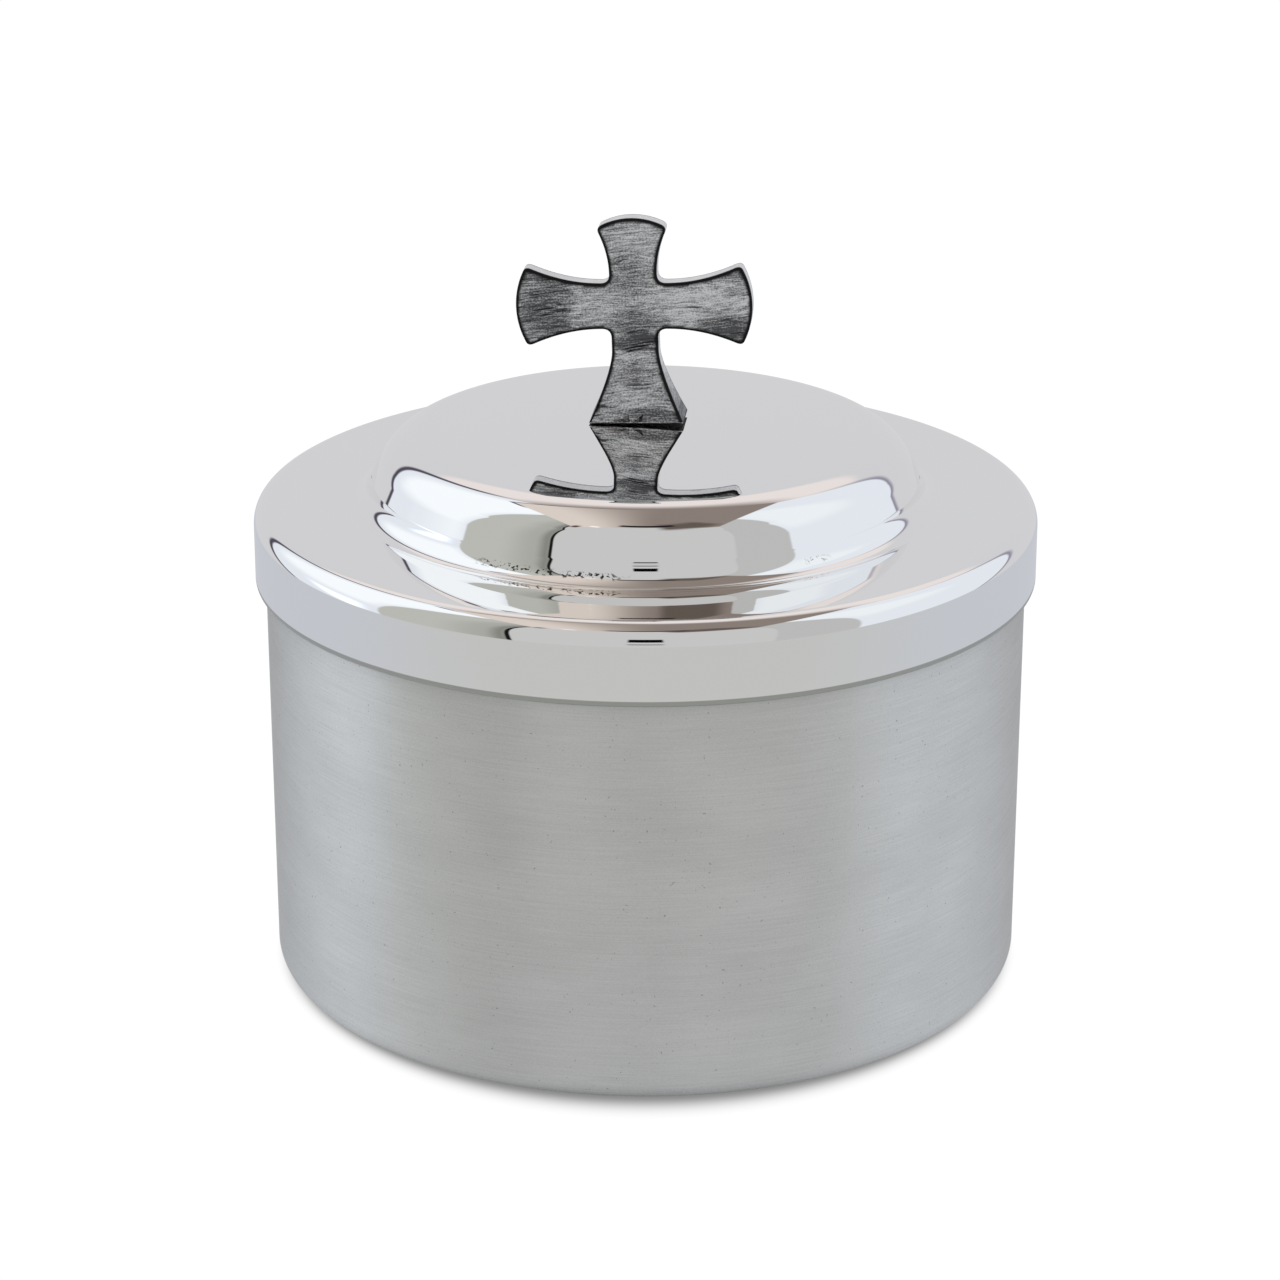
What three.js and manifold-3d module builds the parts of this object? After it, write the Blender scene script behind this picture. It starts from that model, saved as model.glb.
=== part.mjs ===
// Host box: a drawn metal cup, a slip-over lid with a raised round dome, and a cross finial
// that a screw and two washers hold from inside the lid.
// Millimetres, +Z up. The origin is the centre of the base, on the surface that the box stands on.

import * as THREE from 'three';
import { mergeVertices } from 'three/addons/utils/BufferGeometryUtils.js';
import Module from 'manifold-3d';

// Clearances

const RUNNING_CLEARANCE = 0.4; // between the cup's wall and the inside of the lid's skirt
const SEAT_GAP = 0.3; // left between pieces that rest on a curved or turned neighbour
const THREAD_CLEARANCE = 0.3; // round the screw, in the lid's hole and in the tapped foot

// Lid

const LID_RADIUS = 54;
const LID_WALL = 1;
const SKIRT_HEIGHT = 10.3; // from the skirt's edge up to the shoulder
const SHOULDER_HEIGHT = 67.4; // height of the flat shoulder above the table
const SKIRT_CORNER_RADIUS = 2.83;

// Dome of the lid: a cove, an upright neck, a crease, a leaning wall and a flat crown

const DOME_FOOT_RADIUS = 38.05; // where the neck would meet the shoulder without its cove
const DOME_RISE = 10.3; // from the shoulder to the top of the crown
const COVE_RADIUS = 3.1;
const NECK_LEAN = 7.3; // degrees inwards from upright
const NECK_HEIGHT = 2.9; // from the shoulder up to the crease
const CREASE_RADIUS = 0.85;
const WALL_LEAN = 25; // degrees inwards from upright
const WALL_HEIGHT = 2.8; // from the crease up to the corner of the wall
const WALL_CORNER_RADIUS = 5.9;
const CROWN_EDGE_RADIUS = 33.7; // where the crown would meet the dome's edge without rounding
const CROWN_CORNER_RADIUS = 7.4;
const CROWN_CAP_RADIUS = 30; // the cap ends here, and its slope runs on to the crown's edge
const CROWN_RADIUS = 395; // the top is a very flat cap of a sphere

// Cup

const CUP_WALL = 1;
const CUP_CORNER_RADIUS = 3;
const CUP_TAPER = 0.15; // the foot of the wall is this much smaller in radius than the rim
const STANDING_RING_WIDTH = 6; // flat ring between the base corner and the raised panel
const PANEL_RISE = 0.6; // the middle of the base is raised, so that the box stands on its ring
const PANEL_CORNER_RADIUS = 1.2;

// Cross finial, seen from the front: lengths are measured from the crossing of its arms

const CROSS_THICKNESS = 2.8;
const ARM_LENGTH = 14.65; // to the corners of a side arm
const ARM_BULGE = 1.5; // the rounded end stands this far past its corners
const ARM_NARROW = 3.2; // half the height of a side arm where it is narrowest
const ARM_TIP = 5.6; // half the height of a side arm at its corners
const TOP_LENGTH = 10.9;
const TOP_BULGE = 1.35;
const TOP_NARROW = 3.25;
const TOP_TIP = 4.85;
const CROTCH_RADIUS = 1.3; // rounding in the four inner corners
const STEM_NARROW = 3.2;
const CROSSING_HEIGHT = 16; // from the underside of the foot to the crossing
const FOOT_HALF_WIDTH = 6.5;
const FOOT_HALF_DEPTH = 3.4;
const FOOT_FLARE_HEIGHT = 9.8;
const FLARE_BEND = 0.72; // how far up the flare its straight foot would meet the stem
const ARM_BEND = 0.5; // the same for the hollow sides of the arms

// How the finial stands on the lid, as its hand-drilled hole and its screw leave it

const FINIAL_OFFSET_X = -1;
const FINIAL_OFFSET_Y = 1.3;
const FINIAL_TURN = THREE.MathUtils.degToRad(-5.5);
const FINIAL_LEAN = THREE.MathUtils.degToRad(-1.8);

// Screw and washers, size M3

const SCREW_RADIUS = 1.5;
const SCREW_HEAD_RADIUS = 2.8;
const SCREW_HEAD_HEIGHT = 2.2;
const SCREW_HEAD_EDGE = 1.1; // height of the head's upright rim, below its domed end
const SCREW_ENGAGEMENT = 4;
const SCREW_TIP_CHAMFER = 0.4;
const HEAD_FLAT_SHARE = 0.4; // share of the head's radius that is flat, round the slot
const SLOT_WIDTH = 0.8;
const SLOT_DEPTH = 1;
const TAP_SPARE_DEPTH = 0.5; // the tapped hole runs this much deeper than the screw
const FLAT_WASHER_RADIUS = 3.5;
const FLAT_WASHER_THICKNESS = 0.5;
const LOCK_WASHER_RADIUS = 3.1;
const LOCK_WASHER_THICKNESS = 0.8;
const LOCK_WASHER_SPLIT = 0.6;
const LOCK_WASHER_SPLIT_SLANT = THREE.MathUtils.degToRad(30);
const WASHER_BORE_CLEARANCE = 0.2;

// Fineness

const ROUND_SEGMENTS = 64;
const SMALL_SEGMENTS = 24;
const ARC_STEP = THREE.MathUtils.degToRad(18);
const LEAST_ARC_STEPS = 2;
const CURVE_SEGMENTS = 8;
const CUT_MARGIN = 1; // cutting bodies run this far past what they cut
const SAME_POINT = 0.001; // points closer than this are one

// Places that follow from the sizes

const crownTop = SHOULDER_HEIGHT + DOME_RISE;
const crownUnderside = crownTop - LID_WALL;
const cupRadius = LID_RADIUS - LID_WALL - RUNNING_CLEARANCE;
const flatWasherTop = crownUnderside - SEAT_GAP;
const lockWasherTop = flatWasherTop - FLAT_WASHER_THICKNESS;
const screwSeat = lockWasherTop - LOCK_WASHER_THICKNESS;
const finialSeat = crownTop + SEAT_GAP;

// Profiles: paths of straight runs with rounded corners

function corner(radius, height, rounding = 0) {
  return { point: new THREE.Vector2(radius, height), rounding };
}

function runDirection(from, to) {
  return to.point.clone().sub(from.point).normalize();
}

function leftOf(direction) {
  return new THREE.Vector2(-direction.y, direction.x);
}

// Moves a point along a direction that leans inwards by some degrees from upright
function leaning(radius, height, degrees, rise) {
  const inwards = Math.tan(THREE.MathUtils.degToRad(degrees)) * rise;
  return new THREE.Vector2(radius - inwards, height + rise);
}

// The points of the path, with an arc in each rounded corner
function roundedPath(corners) {
  const last = corners.length - 1;
  const points = [corners[0].point.clone()];
  for (let i = 1; i < last; i += 1) {
    const here = corners[i];
    const before = runDirection(corners[i - 1], here);
    const after = runDirection(here, corners[i + 1]);
    const turn = Math.atan2(before.cross(after), before.dot(after));
    const tangent = here.rounding * Math.tan(Math.abs(turn) / 2);
    const start = here.point.clone().addScaledVector(before, -tangent);
    const centre = start.clone().addScaledVector(leftOf(before), here.rounding * Math.sign(turn));
    const wanted = Math.max(Math.ceil(Math.abs(turn) / ARC_STEP), LEAST_ARC_STEPS);
    const steps = here.rounding > 0 ? wanted : 0;
    for (let step = 0; step <= steps; step += 1) {
      const share = steps > 0 ? step / steps : 0;
      points.push(start.clone().rotateAround(centre, turn * share));
    }
  }
  const end = corners[last].point.clone();
  if (points[points.length - 1].distanceTo(end) < SAME_POINT) points.pop();
  points.push(end);
  return points;
}

// The same path moved sideways to its left by the sheet's thickness
function movedLeft(corners, distance) {
  return corners.map((here, i) => {
    const last = corners.length - 1;
    const before = i > 0 ? runDirection(corners[i - 1], here) : runDirection(here, corners[1]);
    const after = i < last ? runDirection(here, corners[i + 1]) : before;
    const shift = leftOf(before).add(leftOf(after));
    const scale = distance / (1 + before.dot(after));
    const turn = Math.sign(before.cross(after));
    return {
      point: here.point.clone().addScaledVector(shift, scale),
      rounding: here.rounding > 0 ? Math.max(here.rounding - turn * distance, 0) : 0,
    };
  });
}

// A half-round edge from one side of the sheet to the other
function roundedEdge(from, to) {
  const centre = from.clone().add(to).multiplyScalar(0.5);
  const steps = Math.round(Math.PI / (2 * ARC_STEP));
  const points = [];
  for (let step = 1; step < steps; step += 1) {
    points.push(from.clone().rotateAround(centre, (Math.PI * step) / steps));
  }
  return points;
}

// Turned, extruded and cut shapes

function turned(points, segments) {
  const geometry = new THREE.LatheGeometry(points, segments);
  geometry.rotateX(Math.PI / 2);
  return geometry;
}

function rod(radius, bottom, top, segments) {
  const geometry = new THREE.CylinderGeometry(radius, radius, top - bottom, segments);
  geometry.rotateX(Math.PI / 2);
  geometry.translate(0, 0, (bottom + top) / 2);
  return geometry;
}

function ring(inner, outer, bottom, top) {
  const points = [
    new THREE.Vector2(inner, bottom),
    new THREE.Vector2(outer, bottom),
    new THREE.Vector2(outer, top),
    new THREE.Vector2(inner, top),
    new THREE.Vector2(inner, bottom),
  ];
  return turned(points, SMALL_SEGMENTS);
}

const wasm = await Module();
wasm.setup();

function asSolid(geometry) {
  const bare = geometry.clone();
  bare.deleteAttribute('normal');
  bare.deleteAttribute('uv');
  const merged = mergeVertices(bare);
  const index = merged.index.array;
  const triangles = [];
  for (let i = 0; i < index.length; i += 3) {
    const [a, b, c] = [index[i], index[i + 1], index[i + 2]];
    if (a !== b && b !== c && c !== a) triangles.push(a, b, c);
  }
  return new wasm.Manifold(new wasm.Mesh({
    numProp: 3,
    vertProperties: new Float32Array(merged.attributes.position.array),
    triVerts: new Uint32Array(triangles),
  }));
}

function asGeometry(solid) {
  const mesh = solid.getMesh();
  const geometry = new THREE.BufferGeometry();
  geometry.setAttribute('position', new THREE.BufferAttribute(mesh.vertProperties, 3));
  geometry.setIndex(new THREE.BufferAttribute(mesh.triVerts, 1));
  geometry.computeVertexNormals();
  return geometry;
}

function cut(geometry, ...tools) {
  const solid = tools.reduce((left, tool) => left.subtract(asSolid(tool)), asSolid(geometry));
  return asGeometry(solid);
}

// Cup

function cupCorners(rimHeight) {
  const ringInner = cupRadius - CUP_CORNER_RADIUS - STANDING_RING_WIDTH;
  const panelRadius = ringInner - PANEL_CORNER_RADIUS;
  return [
    corner(0, PANEL_RISE),
    corner(panelRadius, PANEL_RISE, PANEL_CORNER_RADIUS),
    corner(ringInner, 0, PANEL_CORNER_RADIUS),
    corner(cupRadius - CUP_TAPER, 0, CUP_CORNER_RADIUS),
    corner(cupRadius, rimHeight),
  ];
}

// The lid comes down until the inner rounding of its skirt corner meets the rim's outer edge
function rimHeight() {
  const innerRounding = SKIRT_CORNER_RADIUS - LID_WALL;
  const centreHeight = SHOULDER_HEIGHT - SKIRT_CORNER_RADIUS;
  const reach = innerRounding - RUNNING_CLEARANCE;
  const rise = Math.sqrt(innerRounding ** 2 - reach ** 2);
  return centreHeight + rise - SEAT_GAP;
}

function cupGeometry() {
  const outer = cupCorners(rimHeight());
  const outside = roundedPath(outer);
  const inside = roundedPath(movedLeft(outer, CUP_WALL)).reverse();
  const rim = roundedEdge(outside[outside.length - 1], inside[0]);
  return turned([...outside, ...rim, ...inside], ROUND_SEGMENTS);
}

// Lid

function lidCorners() {
  const neckTop = leaning(DOME_FOOT_RADIUS, SHOULDER_HEIGHT, NECK_LEAN, NECK_HEIGHT);
  const wallTop = leaning(neckTop.x, neckTop.y, WALL_LEAN, WALL_HEIGHT);
  return [
    corner(LID_RADIUS, SHOULDER_HEIGHT - SKIRT_HEIGHT),
    corner(LID_RADIUS, SHOULDER_HEIGHT, SKIRT_CORNER_RADIUS),
    corner(DOME_FOOT_RADIUS, SHOULDER_HEIGHT, COVE_RADIUS),
    corner(neckTop.x, neckTop.y, CREASE_RADIUS),
    corner(wallTop.x, wallTop.y, WALL_CORNER_RADIUS),
    corner(CROWN_EDGE_RADIUS, crownEdgeHeight(), CROWN_CORNER_RADIUS),
    corner(crownTangentRadius(), crownTop, CROWN_RADIUS),
    corner(0, crownTop),
  ];
}

function crownSlope() {
  return Math.asin(CROWN_CAP_RADIUS / CROWN_RADIUS);
}

// Where the level line at the crown's top meets the tangent at the cap's edge
function crownTangentRadius() {
  return CROWN_RADIUS * Math.tan(crownSlope() / 2);
}

function crownEdgeHeight() {
  return crownTop - (CROWN_EDGE_RADIUS - crownTangentRadius()) * Math.tan(crownSlope());
}

function lidGeometry() {
  const outer = lidCorners();
  const outside = roundedPath(outer);
  const inside = roundedPath(movedLeft(outer, LID_WALL)).reverse();
  const edge = roundedEdge(inside[inside.length - 1], outside[0]);
  const shell = turned([...inside, ...edge, ...outside], ROUND_SEGMENTS);
  const holeRadius = SCREW_RADIUS + THREAD_CLEARANCE;
  const drill = rod(holeRadius, crownUnderside - CUT_MARGIN, crownTop + CUT_MARGIN, SMALL_SEGMENTS);
  drill.translate(FINIAL_OFFSET_X, FINIAL_OFFSET_Y, 0);
  return cut(shell, drill);
}

// Cross finial

function between(from, to, share) {
  return from + (to - from) * share;
}

// A rounded end through the two corners of an arm, standing past them by its bulge
function endArc(length, bulge, tip) {
  const radius = (tip ** 2 + bulge ** 2) / (2 * bulge);
  return { centre: length + bulge - radius, radius, halfAngle: Math.asin(tip / radius) };
}

// A closed shape from the right half of its outline, which starts and ends on the middle line
function mirroredShape(rightHalf) {
  const right = rightHalf.getPoints(CURVE_SEGMENTS);
  const left = right.slice(1, -1).reverse().map((p) => new THREE.Vector2(-p.x, p.y));
  return new THREE.Shape([...right, ...left]);
}

// Foot, stem, right arm and half of the top arm, seen from the front
function frontShape() {
  const foot = -CROSSING_HEIGHT;
  const flareTop = foot + FOOT_FLARE_HEIGHT;
  const flareBend = between(foot, flareTop, FLARE_BEND);
  const armRoot = STEM_NARROW + CROTCH_RADIUS;
  const topRoot = ARM_NARROW + CROTCH_RADIUS;
  const armBend = between(armRoot, ARM_LENGTH, ARM_BEND);
  const topBend = between(topRoot, TOP_LENGTH, ARM_BEND);
  const armEnd = endArc(ARM_LENGTH, ARM_BULGE, ARM_TIP);
  const topEnd = endArc(TOP_LENGTH, TOP_BULGE, TOP_TIP);
  const upright = Math.PI / 2;
  const half = new THREE.Path();
  half.moveTo(0, foot);
  half.lineTo(FOOT_HALF_WIDTH, foot);
  half.quadraticCurveTo(STEM_NARROW, flareBend, STEM_NARROW, flareTop);
  half.lineTo(STEM_NARROW, -topRoot);
  half.quadraticCurveTo(STEM_NARROW, -ARM_NARROW, armRoot, -ARM_NARROW);
  half.quadraticCurveTo(armBend, -ARM_NARROW, ARM_LENGTH, -ARM_TIP);
  half.absarc(armEnd.centre, 0, armEnd.radius, -armEnd.halfAngle, armEnd.halfAngle, false);
  half.quadraticCurveTo(armBend, ARM_NARROW, armRoot, ARM_NARROW);
  half.quadraticCurveTo(TOP_NARROW, ARM_NARROW, TOP_NARROW, topRoot);
  half.quadraticCurveTo(TOP_NARROW, topBend, TOP_TIP, TOP_LENGTH);
  half.absarc(0, topEnd.centre, topEnd.radius, upright - topEnd.halfAngle, upright, false);
  return mirroredShape(half);
}

// Seen from the side the cross is thin, and its stem flares into the foot
function sideShape() {
  const foot = -CROSSING_HEIGHT;
  const top = TOP_LENGTH + TOP_BULGE + CUT_MARGIN;
  const flareTop = foot + FOOT_FLARE_HEIGHT;
  const flareBend = between(foot, flareTop, FLARE_BEND);
  const thin = CROSS_THICKNESS / 2;
  const half = new THREE.Path();
  half.moveTo(0, foot);
  half.lineTo(FOOT_HALF_DEPTH, foot);
  half.quadraticCurveTo(thin, flareBend, thin, flareTop);
  half.lineTo(thin, top);
  half.lineTo(0, top);
  return mirroredShape(half);
}

// An outline drawn in the upright plane and pushed out evenly to both sides of it
function slab(shape, thickness) {
  const geometry = new THREE.ExtrudeGeometry(shape, { depth: thickness, bevelEnabled: false });
  geometry.translate(0, 0, -thickness / 2);
  geometry.rotateX(Math.PI / 2);
  return geometry;
}

function crossGeometry() {
  const fullDepth = 2 * (FOOT_HALF_DEPTH + CUT_MARGIN);
  const fullWidth = 2 * (ARM_LENGTH + ARM_BULGE + CUT_MARGIN);
  const front = slab(frontShape(), fullDepth);
  const side = slab(sideShape(), fullWidth);
  side.rotateZ(Math.PI / 2);
  const foot = -CROSSING_HEIGHT;
  const tapDepth = SCREW_ENGAGEMENT + TAP_SPARE_DEPTH;
  const tap = rod(SCREW_RADIUS + THREAD_CLEARANCE, foot - CUT_MARGIN, foot + tapDepth, SMALL_SEGMENTS);
  const cross = asSolid(front).intersect(asSolid(side)).subtract(asSolid(tap));
  const geometry = asGeometry(cross);
  geometry.translate(0, 0, CROSSING_HEIGHT);
  return geometry;
}

// Screw and washers, which hang upright under the crown

function screwGeometry() {
  const headBottom = screwSeat - SCREW_HEAD_HEIGHT;
  const headEdge = screwSeat - SCREW_HEAD_EDGE;
  const tip = finialSeat + SCREW_ENGAGEMENT;
  const profile = roundedPath([
    corner(0, headBottom),
    corner(SCREW_HEAD_RADIUS * HEAD_FLAT_SHARE, headBottom),
    corner(SCREW_HEAD_RADIUS, headBottom, SCREW_HEAD_HEIGHT - SCREW_HEAD_EDGE),
    corner(SCREW_HEAD_RADIUS, screwSeat),
    corner(SCREW_RADIUS, screwSeat),
    corner(SCREW_RADIUS, tip - SCREW_TIP_CHAMFER),
    corner(SCREW_RADIUS - SCREW_TIP_CHAMFER, tip),
    corner(0, tip),
  ]);
  const slot = new THREE.BoxGeometry(2 * SCREW_HEAD_RADIUS + CUT_MARGIN, SLOT_WIDTH, SLOT_DEPTH + CUT_MARGIN);
  slot.translate(0, 0, headBottom + (SLOT_DEPTH - CUT_MARGIN) / 2);
  return cut(turned(profile, SMALL_SEGMENTS), slot);
}

function flatWasherGeometry() {
  const bore = SCREW_RADIUS + WASHER_BORE_CLEARANCE;
  return ring(bore, FLAT_WASHER_RADIUS, lockWasherTop, flatWasherTop);
}

function lockWasherGeometry() {
  const bore = SCREW_RADIUS + WASHER_BORE_CLEARANCE;
  const washer = ring(bore, LOCK_WASHER_RADIUS, screwSeat, lockWasherTop);
  const split = new THREE.BoxGeometry(LOCK_WASHER_RADIUS, LOCK_WASHER_SPLIT, 2 * LOCK_WASHER_THICKNESS);
  split.rotateX(LOCK_WASHER_SPLIT_SLANT);
  split.translate((bore + LOCK_WASHER_RADIUS) / 2, 0, (screwSeat + lockWasherTop) / 2);
  return cut(washer, split);
}

// Assembly

function piece(name, geometry, color, roughness, metalness = 1) {
  const material = new THREE.MeshStandardMaterial({ color, roughness, metalness });
  const mesh = new THREE.Mesh(geometry, material);
  mesh.name = name;
  return mesh;
}

const cup = piece('body_cup', cupGeometry(), 0xaaaba6, 0.38);
const lidShell = piece('lid_shell', lidGeometry(), 0xcacac6, 0.06);
const cross = piece('cross_finial', crossGeometry(), 0x6b6d70, 0.45);
const screw = piece('finial_screw', screwGeometry(), 0xb4b6b8, 0.3);
const lockWasher = piece('lock_washer', lockWasherGeometry(), 0x8f9193, 0.4);
const flatWasher = piece('flat_washer', flatWasherGeometry(), 0xb4b6b8, 0.3);

cross.rotation.set(0, FINIAL_LEAN, FINIAL_TURN, 'ZYX');
cross.position.set(FINIAL_OFFSET_X, FINIAL_OFFSET_Y, finialSeat);

const fastening = new THREE.Group();
fastening.position.set(FINIAL_OFFSET_X, FINIAL_OFFSET_Y, 0);
fastening.add(screw, lockWasher, flatWasher);

const lid = new THREE.Group();
lid.add(lidShell, cross, fastening);

const hostBox = new THREE.Group();
hostBox.add(cup, lid);

export default hostBox;
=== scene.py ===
# Looks of the host box: a satin cup, a mirror-polished lid and an oxidised cross finial.
# The scene is in metres, +Z up, with the origin at the centre of the base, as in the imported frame.
# Sizes of the object are given in millimetres, and MM turns them into metres.

import math

import bpy
from mathutils import Matrix, Vector
from mathutils.geometry import delaunay_2d_cdt


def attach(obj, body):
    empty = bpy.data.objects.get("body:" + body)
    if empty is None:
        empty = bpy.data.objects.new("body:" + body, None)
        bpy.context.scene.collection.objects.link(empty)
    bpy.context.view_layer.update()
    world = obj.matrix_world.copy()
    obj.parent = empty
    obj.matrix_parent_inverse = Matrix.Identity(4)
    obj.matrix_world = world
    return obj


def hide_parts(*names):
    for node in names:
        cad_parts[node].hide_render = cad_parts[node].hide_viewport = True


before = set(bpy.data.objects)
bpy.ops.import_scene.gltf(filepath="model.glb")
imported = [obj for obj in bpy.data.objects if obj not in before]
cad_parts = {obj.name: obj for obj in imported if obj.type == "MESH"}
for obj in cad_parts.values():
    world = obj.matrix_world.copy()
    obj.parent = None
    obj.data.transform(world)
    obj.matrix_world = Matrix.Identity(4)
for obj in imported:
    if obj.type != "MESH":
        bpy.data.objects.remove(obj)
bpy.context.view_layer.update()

MM = 0.001

# Camera, as the photograph's perspective gives it

CAMERA_PLACE = (0.0, -0.51763, 0.23870)
CAMERA_TILT = 20.45  # degrees down from level
CAMERA_TURN = 0.086  # degrees to the left
CAMERA_LENS = 110.94
CAMERA_SENSOR = 36.0
CAMERA_NEAR = 0.01
CAMERA_FAR = 100.0

# Lid and cup, in millimetres

RUNNING_CLEARANCE = 0.4
SEAT_GAP = 0.3
THREAD_CLEARANCE = 0.3
LID_RADIUS = 54.0
LID_WALL = 1.0
SKIRT_HEIGHT = 10.3
SHOULDER_HEIGHT = 67.4
SKIRT_CORNER_RADIUS = 2.83
DOME_FOOT_RADIUS = 38.05
DOME_RISE = 10.3
COVE_RADIUS = 3.1
NECK_LEAN = 7.3
NECK_HEIGHT = 2.9
CREASE_RADIUS = 0.85
WALL_LEAN = 25.0
WALL_HEIGHT = 2.8
WALL_CORNER_RADIUS = 5.9
CROWN_EDGE_RADIUS = 33.7
CROWN_CORNER_RADIUS = 7.4
CROWN_CAP_RADIUS = 30.0
CROWN_RADIUS = 395.0
CUP_WALL = 1.0
CUP_CORNER_RADIUS = 3.0
CUP_TAPER = 0.15
STANDING_RING_WIDTH = 6.0
PANEL_RISE = 0.6
PANEL_CORNER_RADIUS = 1.2

# Cross finial, in millimetres, measured from the crossing of its arms

CROSS_THICKNESS = 2.8
ARM_LENGTH = 14.65
ARM_BULGE = 1.5
ARM_NARROW = 3.2
ARM_TIP = 5.6
TOP_LENGTH = 10.9
TOP_BULGE = 1.35
TOP_NARROW = 3.25
TOP_TIP = 4.85
CROTCH_RADIUS = 1.3
STEM_NARROW = 3.2
CROSSING_HEIGHT = 16.0
FOOT_HALF_WIDTH = 6.5
FOOT_HALF_DEPTH = 3.4
FOOT_FLARE_HEIGHT = 9.8
FLARE_BEND = 0.72
ARM_BEND = 0.5
FINIAL_OFFSET_X = -1.0
FINIAL_OFFSET_Y = 1.3
FINIAL_TURN = math.radians(-5.5)
FINIAL_LEAN = math.radians(-1.8)

# Screw and washers, in millimetres

SCREW_RADIUS = 1.5
SCREW_HEAD_RADIUS = 2.8
SCREW_HEAD_HEIGHT = 2.2
SCREW_HEAD_EDGE = 1.1
SCREW_ENGAGEMENT = 4.0
SCREW_TIP_CHAMFER = 0.4
SLOT_WIDTH = 0.8
SLOT_DEPTH = 1.0
FLAT_WASHER_RADIUS = 3.5
FLAT_WASHER_THICKNESS = 0.5
LOCK_WASHER_RADIUS = 3.1
LOCK_WASHER_THICKNESS = 0.8
LOCK_WASHER_SPLIT = 0.6
LOCK_WASHER_SPLIT_SLANT = math.radians(30)
LOCK_WASHER_SPRING = 0.1
WASHER_BORE_CLEARANCE = 0.2

# Fineness

ROUND_SEGMENTS = 384
ARC_STEP = math.radians(3)
ARC_LEAST_STEPS = 4
HOLE_BLEND_RADIUS = 9.0  # the lid's rings run off-centre inside this radius, to meet the hole
HOLE_RINGS = 5
SMALL_SEGMENTS = 64
THREAD_PITCH = 0.5
THREAD_DEPTH = 0.27
THREAD_STEPS = 8  # rings in each turn of the thread
WASHER_EDGE = 0.12  # rounding of the washers' edges
CURVE_STEPS = 18
TIP_STEP = 3  # every third point of a curve is kept where it rounds a corner of an arm
OUTLINE_SPACING = 0.4  # longest run between two points of the cross's outline
CROSS_EDGE = 0.26  # width of the soft edge round the faces of the cross
CROSS_EDGE_STEPS = 3
FACE_SPACING = 0.7  # grid of points inside the faces of the cross
FACING_STEP = 0.04  # the slope of the face is taken over this distance up and down
TIP_ROUNDING = 0.65  # the corners of the arms are rounded off this far from their points
SHARP_ANGLE = math.radians(30)
FILL_INSIDE = 1  # the triangulation's setting that keeps what lies inside the rim
TOLERANCE = 1e-6
HEIGHT_TOLERANCE = 0.001

crown_top = SHOULDER_HEIGHT + DOME_RISE
crown_underside = crown_top - LID_WALL
cup_radius = LID_RADIUS - LID_WALL - RUNNING_CLEARANCE
hole_radius = SCREW_RADIUS + THREAD_CLEARANCE
finial_seat = crown_top + SEAT_GAP
flat_washer_top = crown_underside - SEAT_GAP
lock_washer_top = flat_washer_top - FLAT_WASHER_THICKNESS
screw_seat = lock_washer_top - LOCK_WASHER_THICKNESS
hole_centre = Vector((FINIAL_OFFSET_X, FINIAL_OFFSET_Y))
foot_place = Vector((FINIAL_OFFSET_X, FINIAL_OFFSET_Y, finial_seat))


# Node trees


MIX_FACTOR, MIX_FIRST, MIX_SECOND, MIX_RESULT = 0, 6, 7, 2  # sockets of a colour mix


def wire(tree, socket, value):
    """Gives an input socket a constant, or links it to an output socket."""
    if isinstance(value, bpy.types.NodeSocket):
        tree.links.new(value, socket)
    else:
        socket.default_value = value


def add_node(tree, kind, inputs=None, **settings):
    node = tree.nodes.new(kind)
    for name, value in settings.items():
        setattr(node, name, value)
    for name, value in (inputs or {}).items():
        wire(tree, node.inputs[name], value)
    return node


def calc(tree, operation, first, second=0.0):
    node = add_node(tree, "ShaderNodeMath", {0: first, 1: second}, operation=operation)
    return node.outputs[0]


def smooth_step(tree, value, low, high):
    """0 below low, 1 above high, with an even turn between them."""
    inputs = {"Value": value, "From Min": low, "From Max": high}
    node = add_node(tree, "ShaderNodeMapRange", inputs, interpolation_type="SMOOTHSTEP")
    return node.outputs["Result"]


def band(tree, value, low, high, soft):
    """1 from low to high and 0 outside, with soft edges."""
    rise = smooth_step(tree, value, low - soft, low + soft)
    fall = smooth_step(tree, value, high - soft, high + soft)
    return calc(tree, "SUBTRACT", rise, fall)


def mix_colour(tree, factor, first, second):
    node = add_node(tree, "ShaderNodeMix", data_type="RGBA")
    wire(tree, node.inputs[MIX_FACTOR], factor)
    wire(tree, node.inputs[MIX_FIRST], first)
    wire(tree, node.inputs[MIX_SECOND], second)
    return node.outputs[MIX_RESULT]


def rgba(red, green, blue):
    return (red, green, blue, 1.0)


def grey(value):
    return rgba(value, value, value)


# Studio: the walls of a light tent, as a sky that the polished metal mirrors.
# Directions are degrees round from the camera's side, positive to the right, and degrees up.

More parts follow.
